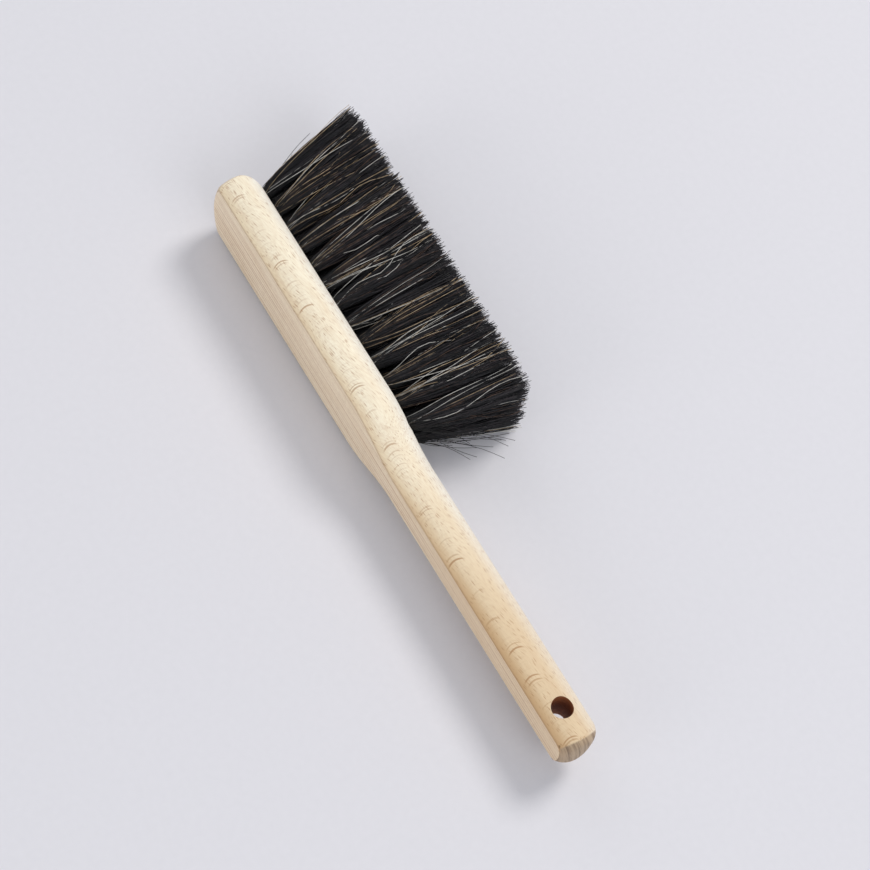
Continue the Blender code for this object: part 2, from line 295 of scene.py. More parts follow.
def beech_zones(tree, where):
    """Shares of the surface, 0 to 1: towards the handle's end, planed back, low on the sides (painted shade),
    along the back's edge (pores and painted shade), bristle side (painted light), end grain, and the toe's
    own end."""
    normal = add_node(tree, "ShaderNodeNewGeometry").outputs["Normal"]
    facing = add_node(tree, "ShaderNodeSeparateXYZ", {0: normal}).outputs
    rise = add_node(tree, "ShaderNodeMath", {0: where[1], 1: BODY_LOW.y}, operation="SUBTRACT").outputs[0]
    handle = add_node(tree, "ShaderNodeMapRange", {"Value": where[0], "From Min": HANDLE_TONE_SPAN[0],
                                                   "From Max": HANDLE_TONE_SPAN[1]},
                      interpolation_type="SMOOTHSTEP")
    back = add_node(tree, "ShaderNodeMapRange", {"Value": facing[1], "From Min": -0.85, "From Max": -0.98})
    side = add_node(tree, "ShaderNodeMath", {0: 1.0, 1: back.outputs[0]}, operation="SUBTRACT").outputs[0]
    zones = [handle.outputs[0], back.outputs[0]]
    # Painted shade low on the sides, and pores with painted shade along the back's edge, both on the sides
    # only.
    for top, bottom in (LOW_SHADE_RISES, CREASE_PORES_AND_SHADE_RISES):
        low = add_node(tree, "ShaderNodeMapRange", {"Value": rise, "From Min": top, "From Max": bottom},
                       interpolation_type="SMOOTHSTEP")
        zones.append(add_node(tree, "ShaderNodeMath", {0: low.outputs[0], 1: side},
                              operation="MULTIPLY").outputs[0])
    # Painted light: the share of the bristle side that is coloured near white, as if lit.
    front = add_node(tree, "ShaderNodeMapRange", {"Value": rise, "From Min": BRISTLE_SIDE_LIGHT_RISES[0],
                                                  "From Max": BRISTLE_SIDE_LIGHT_RISES[1]},
                     interpolation_type="SMOOTHSTEP")
    ends = add_node(tree, "ShaderNodeMapRange", {"Value": facing[0], "From Min": 0.38, "From Max": 0.55},
                    interpolation_type="SMOOTHSTEP")
    toe = add_node(tree, "ShaderNodeMapRange", {"Value": facing[0], "From Min": -0.25, "From Max": -0.50},
                   interpolation_type="SMOOTHSTEP")
    return zones + [front.outputs[0], ends.outputs[0], toe.outputs[0]]


def end_streaks(tree, place):
    """End grain: uneven dark streaks that cross the handle's end."""
    turned = add_node(tree, "ShaderNodeMapping", {"Vector": place, "Rotation": (END_STREAK_TURN, 0, 0)})
    drawn = add_node(tree, "ShaderNodeMapping", {"Vector": turned.outputs[0], "Scale": END_STREAK_RATES})
    streaks = add_node(tree, "ShaderNodeTexNoise", {"Vector": drawn.outputs[0], "Scale": 1.0, "Detail": 3.0,
                                                    "Roughness": 0.6})
    return add_node(tree, "ShaderNodeMapRange", {"Value": streaks.outputs[0], "From Min": 0.46,
                                                 "From Max": 0.68}).outputs[0]


def beech_material():
    """European beech, sanded and unfinished: pale and warm with brown flecks, matt, greyer end grain. Painted
    light makes the bristle side near white, and painted shade darkens the sides low down and along the back's
    edge and tints the flat back.
    """
    material, tree, shader = new_material("sanded_beech")
    place = add_node(tree, "ShaderNodeTexCoord").outputs["Object"]
    where = add_node(tree, "ShaderNodeSeparateXYZ", {0: place}).outputs
    bend = add_node(tree, "ShaderNodeTexNoise", {"Vector": place, "Scale": GRAIN_WANDER_RATE,
                                                 "Detail": 1.0})
    warped = add_node(tree, "ShaderNodeVectorMath", {0: bend.outputs["Color"],
                                                     1: (0, GRAIN_WANDER, GRAIN_WANDER), 2: place},
                      operation="MULTIPLY_ADD")
    wood = add_node(tree, "ShaderNodeMapping", {"Vector": warped.outputs[0],
                                                "Rotation": (0, 0, -GRAIN_SLOPE)}).outputs[0]
    late = beech_rings(tree, place)
    dashes = beech_dashes(tree, wood)
    arcs = beech_arcs(tree, where)
    thin = add_node(tree, "ShaderNodeMapping", {"Vector": wood, "Scale": FIBRE_RATES})
    fibres = add_node(tree, "ShaderNodeTexNoise", {"Vector": thin.outputs[0], "Scale": 1.0, "Detail": 3.0,
                                                   "Roughness": 0.65}).outputs[0]
    broad = add_node(tree, "ShaderNodeMapping", {"Vector": wood, "Scale": CLOUD_RATES})
    clouds = add_node(tree, "ShaderNodeTexNoise", {"Vector": broad.outputs[0], "Scale": 1.0, "Detail": 2.0})
    handle, back, low, crease_pores_and_shade, front, ends, toe = beech_zones(tree, where)
    clear = add_node(tree, "ShaderNodeMath", {0: 1.0, 1: toe}, operation="SUBTRACT")
    kept_arcs = add_node(tree, "ShaderNodeMath", {0: arcs, 1: clear.outputs[0]}, operation="MULTIPLY")
    less = add_node(tree, "ShaderNodeMath", {0: back, 1: -0.55, 2: 1.0}, operation="MULTIPLY_ADD")
    toned = add_node(tree, "ShaderNodeMath", {0: handle, 1: less.outputs[0]}, operation="MULTIPLY")
    # The painted light on the bristle side is weaker towards the handle's end.
    pale = add_node(tree, "ShaderNodeMath", {0: handle, 1: -0.5, 2: 1.0}, operation="MULTIPLY_ADD")
    painted_bristle_side_light = add_node(tree, "ShaderNodeMath", {0: front, 1: pale.outputs[0]}, operation="MULTIPLY")
    cloudy = add_node(tree, "ShaderNodeMapRange", {"Value": clouds.outputs[0], "From Min": 0.40,
                                                   "From Max": 0.75})
    hairline = add_node(tree, "ShaderNodeMapRange", {"Value": fibres, "From Min": 0.62, "From Max": 0.32})
    lines = add_node(tree, "ShaderNodeMapRange", {"Value": back, "To Min": 0.16, "To Max": 0.95})
    grown = add_node(tree, "ShaderNodeMath", {0: late, 1: lines.outputs[0]}, operation="MULTIPLY")
    marked = add_node(tree, "ShaderNodeMapRange", {"Value": back, "To Min": 0.62, "To Max": 0.22})
    flecks = add_node(tree, "ShaderNodeMath", {0: dashes, 1: marked.outputs[0]}, operation="MULTIPLY")
    # Painted shade low on the sides, deeper towards the handle's end.
    low_shade_at_handle = add_node(tree, "ShaderNodeMath", {0: low, 1: handle}, operation="MULTIPLY")
    soaked = add_node(tree, "ShaderNodeMath", {0: ends, 1: end_streaks(tree, place)}, operation="MULTIPLY")
    # (share of the surface, strength, colour, how it is laid over what is below)
    layers = (
        (toned.outputs[0], 1.0, "#e0c8a5", "MIX"),
        (cloudy.outputs[0], 0.30, "#e3cba8", "MIX"),
        # Painted light: the bristle side mixed towards near white.
        (painted_bristle_side_light.outputs[0], 0.90, "#fffdf6", "MIX"),
        # Painted shade: the sides darker low down by the flat back, and more so towards the handle's end.
        (low, 1.0, "#f8efe2", "MULTIPLY"),
        (low_shade_at_handle.outputs[0], 1.0, "#efe3d3", "MULTIPLY"),
        # Painted shade: the flat back, facing away from the key soft box, is tinted a little darker and
        # pinker.
        (back, 1.0, "#fff6ef", "MULTIPLY"),
        (hairline.outputs[0], 0.30, "#cba87e", "MIX"),
        (grown.outputs[0], 1.0, "#b6845c", "MIX"),
        (flecks.outputs[0], 1.0, "#a8764a", "MIX"),
        (kept_arcs.outputs[0], 0.70, "#a67648", "MIX"),
        # Along the back's edge: brown pores, darkened further with painted shade.
        (crease_pores_and_shade, 0.38, "#9c7450", "MIX"),
        (toe, 0.35, "#c9b193", "MIX"),
        (ends, 0.85, "#ae967c", "MIX"),
        (soaked.outputs[0], 0.75, "#6a523c", "MIX"),
    )
    colour = linear("#fdf3dc")
    for share, strength, tint, how in layers:
        weight = add_node(tree, "ShaderNodeMath", {0: share, 1: strength}, operation="MULTIPLY")
        colour = add_node(tree, "ShaderNodeMix", {0: weight.outputs[0], 6: colour, 7: linear(tint)},
                          data_type="RGBA", blend_type=how).outputs[2]
    tree.links.new(colour, shader.inputs["Base Color"])
    rough = add_node(tree, "ShaderNodeMapRange", {"Value": fibres, "From Min": 0.3, "From Max": 0.7,
                                                  "To Min": 0.50, "To Max": 0.64})
    tree.links.new(rough.outputs[0], shader.inputs["Roughness"])
    shader.inputs["IOR"].default_value = 1.5
    relief = add_node(tree, "ShaderNodeMath", {0: dashes, 1: -0.8, 2: fibres}, operation="MULTIPLY_ADD")
    bump = add_node(tree, "ShaderNodeBump", {"Height": relief.outputs[0], "Strength": 0.35,
                                             "Distance": RELIEF_DEPTH})
    tree.links.new(bump.outputs[0], shader.inputs["Normal"])
    return material


def drilled_material():
    """Beech wall left by a drill: scorched red-brown, rough and torn across the fibres."""
    material, tree, shader = new_material("drilled_beech")
    place = add_node(tree, "ShaderNodeTexCoord").outputs["Object"]
    torn = add_node(tree, "ShaderNodeMapping", {"Vector": place, "Scale": DRILL_TEAR_RATES})
    spots = add_node(tree, "ShaderNodeTexNoise", {"Vector": torn.outputs[0], "Scale": 1.0, "Detail": 3.0})
    share = add_node(tree, "ShaderNodeMapRange", {"Value": spots.outputs[0], "From Min": 0.3,
                                                  "From Max": 0.7})
    colour = add_node(tree, "ShaderNodeMix", {0: share.outputs[0], 6: linear("#7c4222"),
                                              7: linear("#a8683c")}, data_type="RGBA")
    tree.links.new(colour.outputs[2], shader.inputs["Base Color"])
    shader.inputs["Roughness"].default_value = 0.8
    bump = add_node(tree, "ShaderNodeBump", {"Height": spots.outputs[0], "Strength": 0.4,
                                             "Distance": RELIEF_DEPTH})
    tree.links.new(bump.outputs[0], shader.inputs["Normal"])
    return material


FACE_Y = BODY_ORIGIN.y + FACE_RISE
# Near the wood little light gets between the hairs, so their tone is lower up to this height.
ROOT_SHADE_HEIGHT = 0.020
ROOT_TONE = 0.35
HAIR_DRIFT_RATE = 420.0
ROUGHNESS_DRIFT = 0.06


def hair_material(name, dark, light, roughness):
    """Horsehair of one colour: a smooth horn-like fibre, its tone drifting, with painted shade near the
    roots.
    """
    material, tree, shader = new_material(name)
    place = add_node(tree, "ShaderNodeTexCoord").outputs["Object"]
    drift = add_node(tree, "ShaderNodeTexNoise", {"Vector": place, "Scale": HAIR_DRIFT_RATE,
                                                  "Detail": 2.0})
    share = add_node(tree, "ShaderNodeMapRange", {"Value": drift.outputs[0], "From Min": 0.35,
                                                  "From Max": 0.65})
    colour = add_node(tree, "ShaderNodeMix", {0: share.outputs[0], 6: linear(dark), 7: linear(light)},
                      data_type="RGBA")
    height = add_node(tree, "ShaderNodeSeparateXYZ", {0: place}).outputs[1]
    # Painted shade: the colour darkened near the roots, where little light gets between the hairs.
    painted_root_shade = add_node(tree, "ShaderNodeMapRange", {"Value": height, "From Min": FACE_Y, "From Max": (
        FACE_Y + ROOT_SHADE_HEIGHT), "To Min": ROOT_TONE, "To Max": 1.0})
    shaded = add_node(tree, "ShaderNodeMix", {0: 1.0, 6: colour.outputs[2], 7: painted_root_shade.outputs[0]},
                      data_type="RGBA", blend_type="MULTIPLY")
    tree.links.new(shaded.outputs[2], shader.inputs["Base Color"])
    rough = add_node(tree, "ShaderNodeMapRange", {"Value": drift.outputs[0],
                                                  "To Min": roughness - ROUGHNESS_DRIFT,
                                                  "To Max": roughness + ROUGHNESS_DRIFT})
    tree.links.new(rough.outputs[0], shader.inputs["Roughness"])
    shader.inputs["IOR"].default_value = 1.55
    return material


# ---------------------------------------------------------------------------------------------------
# The beech body: a head block and a handle bar, bridged, then rounded, planed and drilled
# ---------------------------------------------------------------------------------------------------
def make_head_block():
    """A block with its four long edges rounded: two arcs meet at the widest place of each side."""
    thickness = HEAD_FRONT_RADIUS + HEAD_BACK_RADIUS
    length = TAPER_START - TOE_PLAN_DEPTH
    middle = spot(TOE_PLAN_DEPTH + length / 2, FACE_RISE - thickness / 2)
    deselect()
    bpy.ops.mesh.primitive_cube_add(size=1, location=middle)
    block = bpy.context.object
    block.dimensions = (length, thickness, 2 * HEAD_HALF_WIDTH)
    settle(block)
    take_up(block, "EDIT")
    for side, radius in ((1, HEAD_FRONT_RADIUS), (-1, HEAD_BACK_RADIUS)):
        def long_edge(edge):
            first, second = (vert.co for vert in edge.verts)
            at_side = min((first.y - middle.y) * side, (second.y - middle.y) * side) > thickness / 2 - CLOSE
            return at_side and abs(first.x - second.x) > length - CLOSE
        pick("EDGE", long_edge)
        bpy.ops.mesh.bevel(offset=radius, segments=ARC_STEPS, affect="EDGES", clamp_overlap=False)
    bpy.ops.mesh.select_all(action="SELECT")
    bpy.ops.mesh.remove_doubles(threshold=CLOSE)
    return block


def make_handle_bar():
    """A round bar with as many sides as the head block's section has points."""
    end = LENGTH - END_EASE
    deselect()
    bpy.ops.mesh.primitive_cylinder_add(
        vertices=4 * ARC_STEPS + 2, radius=HANDLE_RADIUS, depth=end - TAPER_END,
        location=spot((TAPER_END + end) / 2, HANDLE_AXIS_RISE), rotation=(math.pi / 2, 0, math.pi / 2))
    bar = bpy.context.object
    settle(bar)
    return bar


def bridge_head_to_handle(block, bar):
    """One body: the two facing ends are opened and joined by a smooth taper."""
    take_up(block)
    bar.select_set(True)
    bpy.ops.object.join()
    take_up(block, "EDIT")
    facing_ends = (spot(TAPER_START, 0).x, spot(TAPER_END, 0).x)
    pick("FACE", lambda face: min(abs(face.calc_center_median().x - x) for x in facing_ends) < CLOSE)
    bpy.ops.mesh.delete(type="ONLY_FACE")
    pick("EDGE", lambda edge: edge.is_boundary)
    bpy.ops.mesh.bridge_edge_loops(number_cuts=TAPER_CUTS, interpolation="SURFACE", smoothness=1.0)
    return block


def toe_setback(rise):
    """How far the toe's side view falls back: a large round in front, a small one at the back."""
    front = FACE_RISE - TOE_FRONT_RADIUS
    if rise > front:
        drop = min(rise - front, TOE_FRONT_RADIUS)
        return TOE_FRONT_RADIUS - math.sqrt(TOE_FRONT_RADIUS ** 2 - drop ** 2)
    drop = min(max(TOE_BACK_RADIUS - rise, 0.0), TOE_BACK_RADIUS)
    return TOE_BACK_RADIUS - math.sqrt(TOE_BACK_RADIUS ** 2 - drop ** 2)


def round_toe(body):
    """The toe: the block's end extruded in narrowing steps, then its rows slid back."""
    take_up(body, "EDIT")
    full = spot(TOE_PLAN_DEPTH, 0).x
    pick("FACE", lambda face: abs(face.calc_center_median().x - full) < CLOSE)
    last_x, last_width = TOE_PLAN_DEPTH, 1.0
    for step in range(1, TOE_STEPS + 1):
        width = max(math.cos(math.pi / 2 * step / TOE_STEPS), TOE_NARROWEST)
        x = TOE_PLAN_DEPTH * (1 - (1 - width ** TOE_PLAN_POWER) ** (1 / TOE_PLAN_POWER))
        bpy.ops.mesh.extrude_region_move(TRANSFORM_OT_translate={"value": (x - last_x, 0, 0)})
        bpy.ops.transform.resize(value=(1, 1, width / last_width), center_override=spot(0, 0))
        last_x, last_width = x, width
    bpy.ops.mesh.quads_convert_to_tris(ngon_method="BEAUTY")
    slide_rows(lambda x: x < full + CLOSE, toe_setback)


def end_setback(rise):
    """How far the handle's end falls back at this rise, along an arc seen from the side."""
    return math.sqrt(END_ARC_RADIUS ** 2 - (rise - END_ARC_RISE) ** 2) - END_ARC_RADIUS


def round_end(body):
    """The handle's end: its rim slid back along an arc, then extruded inwards as a pillow."""
    take_up(body, "EDIT")
    start = LENGTH - END_EASE
    rim = spot(start, 0).x
    slide_rows(lambda x: x > rim - CLOSE, end_setback)
    past_taper = spot(TAPER_END, 0).x
    pick("FACE", lambda face: len(face.verts) > 2 * ARC_STEPS and face.calc_center_median().x > past_taper)
    steps = []
    for step in range(1, END_EASE_STEPS + 1):
        angle = math.pi / 2 * step / END_EASE_STEPS
        inset = END_EASE * (1 - math.cos(angle))
        steps.append((start + END_EASE * math.sin(angle), 1 - inset / HANDLE_RADIUS))
    steps += [(LENGTH + END_DOME * (1 - scale ** 2), steps[-1][1] * scale) for scale in END_CAP_SCALES]
    last_x, last_scale = start, 1.0
    for x, scale in steps:
        ratio = scale / last_scale
        bpy.ops.mesh.extrude_region_move(TRANSFORM_OT_translate={"value": (x - last_x, 0, 0)})
        bpy.ops.transform.resize(value=(ratio ** 2, ratio, ratio), center_override=spot(x, HANDLE_AXIS_RISE))
        last_x, last_scale = x, scale


def plane_back(body):
    """The flat back, cut off straight, with its sharp rim just taken off."""
    take_up(body, "EDIT")
    bpy.ops.mesh.select_all(action="SELECT")
    bpy.ops.mesh.bisect(plane_co=spot(0, 0), plane_no=(0, 1, 0), clear_inner=True, use_fill=True,
                        threshold=CLOSE / 10)
    pick("EDGE", lambda edge: all(abs(vert.co.y - BODY_ORIGIN.y) < CLOSE / 5 for vert in edge.verts))
    bpy.ops.mesh.bevel(offset=CREASE_EASE, segments=EASE_STEPS, affect="EDGES", clamp_overlap=False)


def in_hang_hole(face):
    """Whether a face is on the wall of the hanging hole."""
    offset = face.calc_center_median() - spot(HANG_HOLE_X, HANG_HOLE_RISE)
    return math.hypot(offset.x, offset.y) < HANG_HOLE_RADIUS and abs(face.normal.z) < 0.5


def drill_hang_hole(body):
    """The hanging hole, drilled from side to side, its two mouths lightly eased."""
    deselect()
    bpy.ops.mesh.primitive_cylinder_add(vertices=HOLE_SIDES, radius=HANG_HOLE_RADIUS, depth=4 * HANDLE_RADIUS,
                                        location=spot(HANG_HOLE_X, HANG_HOLE_RISE))
    bit = bpy.context.object
    cut = body.modifiers.new("drill", "BOOLEAN")
    cut.operation = "DIFFERENCE"
    cut.solver = "EXACT"
    cut.object = bit
    take_up(body)
    bpy.ops.object.modifier_apply(modifier="drill")
    bpy.data.objects.remove(bit, do_unlink=True)
    take_up(body, "EDIT")
    pick("EDGE", lambda edge: sum(in_hang_hole(face) for face in edge.link_faces) == 1)
    bpy.ops.mesh.bevel(offset=HOLE_EASE, segments=EASE_STEPS, affect="EDGES", clamp_overlap=False)


def make_body():
    """The whole wooden body, its outside in sanded beech and the hole's wall as the drill left it."""
    body = bridge_head_to_handle(make_head_block(), make_handle_bar())
    round_toe(body)
    round_end(body)
    plane_back(body)
    drill_hang_hole(body)
    body.name = "beech_handle_and_head"
    body.data.name = body.name
    body.data.materials.append(beech_material())
    body.data.materials.append(drilled_material())
    pick("FACE", in_hang_hole)
    body.active_material_index = 1
    bpy.ops.object.material_slot_assign()
    take_up(body)
    bpy.ops.object.shade_smooth_by_angle(angle=SMOOTH_ANGLE)
    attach(body, "root")
    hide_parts("beech_body")


# ---------------------------------------------------------------------------------------------------
# The horsehair. A tuft's hundreds of hairs are closed tubes along computed paths, which no primitive
# shaped by hand could give.
# ---------------------------------------------------------------------------------------------------
TUFTS = sorted(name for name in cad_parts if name.startswith("tuft_"))
ROW_NAME_LENGTH = len("tuft_row1")
END_SLICE = 0.0005
HAIR_SEED = 1000
STRAY_SEED = 2000
HAIRS_PER_TUFT = 480
HAIR_POINTS = 11
HAIR_SIDES = 3
TIP_THICKNESS = 0.85
HOLE_SPREAD = 0.0025
ROOT_DEPTH = 0.0025
# A hair's tip keeps some of its place in the hole, and some tips are drawn together in clumps.
FREE_SHARE = 0.6
ORDER_SHARE = 0.4
ORDER_WIDTH = 0.6
CLUMPS = 12
CLUMP_PULL = (0.1, 0.5)
TIP_REACH = 0.22
TIP_SCATTER = (0.0011, 0.0003)
# Hairs on the outer sides of the outer rows: where they start and end, as shares from the tuft's middle.
OUTER_ROW = 0.006
OUTER_ROOT = 0.9
OUTER_TIPS = (0.30, 0.54)
# How tips stop at the ends and sides of the brush, and how unevenly they were trimmed.
TOE_INSET = 0.0012
END_JAG = 0.0008
TIPS_ABOVE_FLOOR = 0.0005
HAIR_ABOVE_FLOOR = 0.0003
SIDE_SLACK = 0.0010
TIP_MEAN = -0.0004
TIP_JAG = 0.0014
TIP_JAG_LIMITS = (-0.006, 0.0022)
SHORT_SHARE = 0.06
SHORT_LENGTHS = (0.6, 0.97)
TRIM_START = 0.1340
TRIM_LENGTH = 0.0220
TRIM_DROP = 0.0010
TRIM_POWER = 1.5
TRIM_LIMIT = 1.2
TOE_TALLER = 0.0012
HANDLE_LOWER = 0.0010
# Black, charcoal, brown, tan and grey-white hairs: how many, how thick, how loosely they lie, and how
# many of them lie on the brush's outer sides. Real hairs are about 0.2 mm thick. These are 0.26 to 0.3 mm
# thick, so that they show and fewer of them fill a tuft.
SHARES = (0.766, 0.182, 0.027, 0.012, 0.013)
RADII = (0.00014, 0.00015, 0.00014, 0.00013, 0.00014)
LOOSENESS = (1.0, 1.4, 2.6, 3.6, 4.4)
OUTSIDE = (0.0, 0.0, 0.20, 0.38, 0.48)
# The fan opens quickly above the hole and slowly near the tips.
FAN_ALONG = 0.72
FAN_ACROSS = 0.85
# Each hair's sideways waves: how many, how high, held still at the root, and a smaller, quicker kink.
WAVES = (0.5, 1.6)
WAVE_HEIGHT = 0.00050
ROOT_HOLD = 1.3
KINK_HEIGHT = 0.25
KINK_RATE = 1.7


def tuft_shape(name):
    """Root centre and the corners of a tuft's share of the tips, from its plain solid in the frame."""
    places = np.array([tuple(vertex.co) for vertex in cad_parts[name].data.vertices])
    root = places[places[:, 1] < places[:, 1].min() + END_SLICE].mean(axis=0)
    tip = places[places[:, 1] > places[:, 1].max() - END_SLICE]
    return root, tip.min(axis=0), tip.max(axis=0)


SHAPES = {name: tuft_shape(name) for name in TUFTS}
TIPS_LOW = np.min([low for root, low, high in SHAPES.values()], axis=0)
TIPS_HIGH = np.max([high for root, low, high in SHAPES.values()], axis=0)


def hair_paths(name, seed):
    """Paths of a tuft's hairs: packed in the hole, then spreading in clumps to the trimmed tips."""
    chance = np.random.default_rng(seed)
    count = HAIRS_PER_TUFT
    root, tip_low, tip_high = SHAPES[name]
    kind = chance.choice(len(SHARES), size=count, p=SHARES)
    loose = np.array(LOOSENESS)[kind]
    angle = chance.uniform(0, 2 * math.pi, count)
    spread = np.sqrt(chance.uniform(0, 1, count))
    disc = np.stack([spread * np.cos(angle), spread * np.sin(angle)], axis=1)
    base = np.stack([root[0] + HOLE_SPREAD * disc[:, 0], np.full(count, FACE_Y - ROOT_DEPTH),
                     root[2] + HOLE_SPREAD * disc[:, 1]], axis=1)

    # Where each hair ends, as shares of the tuft's own patch of the tips.
    cell = chance.uniform(-TIP_REACH, 1 + TIP_REACH, (count, 2))
    cell = FREE_SHARE * cell + ORDER_SHARE * (0.5 + ORDER_WIDTH * disc)
    clumps = chance.uniform(-TIP_REACH, 1 + TIP_REACH, (CLUMPS, 2))
    nearest = ((cell[:, None, :] - clumps[None]) ** 2).sum(axis=2).argmin(axis=1)
    cell = cell + (clumps[nearest] - cell) * chance.uniform(*CLUMP_PULL, (count, 1))
    offset = root[2] - BODY_ORIGIN.z
    outside = (abs(offset) > OUTER_ROW) & (chance.uniform(0, 1, count) < np.array(OUTSIDE)[kind])
    cell[:, 1] = np.where(outside, 0.5 + chance.uniform(*OUTER_TIPS, count) * np.sign(offset), cell[:, 1])
    base[:, 2] = np.where(outside, root[2] + OUTER_ROOT * HOLE_SPREAD * np.sign(offset), base[:, 2])

    tip = np.empty((count, 3))
    tip[:, 0] = tip_low[0] + cell[:, 0] * (tip_high[0] - tip_low[0])
    tip[:, 2] = tip_low[2] + cell[:, 1] * (tip_high[2] - tip_low[2])
    tip[:, 0] += chance.normal(0, TIP_SCATTER[0], count) * loose
    tip[:, 2] += chance.normal(0, TIP_SCATTER[1], count) * loose
    tip[:, 0] = np.clip(tip[:, 0], TIPS_LOW[0] + TOE_INSET + END_JAG * chance.uniform(-1, 1, count),
                        TIPS_HIGH[0] + END_JAG * chance.uniform(-1, 1, count))
    tip[:, 2] = np.clip(tip[:, 2], TIPS_LOW[2] + TIPS_ABOVE_FLOOR, TIPS_HIGH[2])
    past = np.clip((tip[:, 0] - BODY_ORIGIN.x - TRIM_START) / TRIM_LENGTH, 0, TRIM_LIMIT)
    trim = past ** TRIM_POWER * TRIM_DROP
    along = (tip[:, 0] - TIPS_LOW[0]) / (TIPS_HIGH[0] - TIPS_LOW[0])
    tilt = TOE_TALLER - (TOE_TALLER + HANDLE_LOWER) * along
    jag = np.clip(chance.normal(TIP_MEAN, TIP_JAG, count), *TIP_JAG_LIMITS)
    tip[:, 1] = tip_high[1] + tilt - trim + jag
    short = chance.uniform(0, 1, count) < SHORT_SHARE
    tip = np.where(short[:, None], base + (tip - base) * chance.uniform(*SHORT_LENGTHS, (count, 1)), tip)

    share = np.linspace(0, 1, HAIR_POINTS)[None, :, None]
    opening = np.concatenate([share ** FAN_ALONG, share, share ** FAN_ACROSS], axis=2)
    paths = base[:, None, :] + (tip - base)[:, None, :] * opening
    turn = chance.uniform(0, 2 * math.pi, (count, 1))
    phase = chance.uniform(0, 2 * math.pi, (count, 1))
    waves = chance.uniform(*WAVES, (count, 1))
    height = np.abs(chance.normal(0, WAVE_HEIGHT, (count, 1))) * loose[:, None]
    share = share[:, :, 0]
    held = np.sin(math.pi * np.minimum(share * ROOT_HOLD, 1.0) / 2)
    swing = height * np.sin(2 * math.pi * waves * share + phase) * held
    kink = KINK_HEIGHT * height * np.sin(2 * math.pi * KINK_RATE * waves * share + turn) * held
    paths[:, :, 0] += (swing + kink) * np.cos(turn)
    paths[:, :, 2] += (swing - kink) * np.sin(turn)
    paths[:, :, 2] = np.clip(paths[:, :, 2], HAIR_ABOVE_FLOOR, cad_high[2] + SIDE_SLACK)
    return paths, kind


# Strays: hairs that have worked loose from the first and last tufts and curl away from the rest.
STRAYS_AT_HANDLE = 6
STRAYS_AT_TOE = 2
STRAY_REACH = {1: 0.016, -1: 0.002}
STRAY_RISE = (0.020, 0.042)
STRAY_SPREAD = (0.6, 1.0)
STRAY_CURL = (0.0020, 0.0070)
STRAY_TURNS = (0.4, 0.9)
STRAY_PHASE = (0, 1.5)
STRAY_SINK = (-0.4, 1.0)
STRAY_BEND_OUT = 1.3
STRAY_BEND_UP = 0.9


def stray_paths(name, seed, count, direction):
    """Paths of the strays of one tuft, leaning towards the handle (1) or the toe (-1)."""
    chance = np.random.default_rng(seed)
    root, tip_low, tip_high = SHAPES[name]
    rise = chance.uniform(*STRAY_RISE, (count, 1))
    share = np.linspace(0, 1, HAIR_POINTS)[None, :]
    out = (tip_high[0] if direction > 0 else tip_low[0]) - root[0]
    further = STRAY_REACH[direction]
    wide = out * chance.uniform(*STRAY_SPREAD, (count, 1))
    wide = wide + direction * further * chance.uniform(0, 1, (count, 1))
    curl = direction * chance.uniform(*STRAY_CURL, (count, 1)) * np.sin(
        2 * math.pi * chance.uniform(*STRAY_TURNS, (count, 1)) * share
        + chance.uniform(*STRAY_PHASE, (count, 1)))
    sink = (tip_high[2] - root[2]) * chance.uniform(*STRAY_SINK, (count, 1))
    x = root[0] + direction * HOLE_SPREAD + wide * share ** STRAY_BEND_OUT + curl * share
    y = FACE_Y - ROOT_DEPTH + rise * share ** STRAY_BEND_UP
    z = root[2] + sink * share
    return np.stack([x, y, np.clip(z, HAIR_ABOVE_FLOOR, None)], axis=2), np.zeros(count, dtype=int)


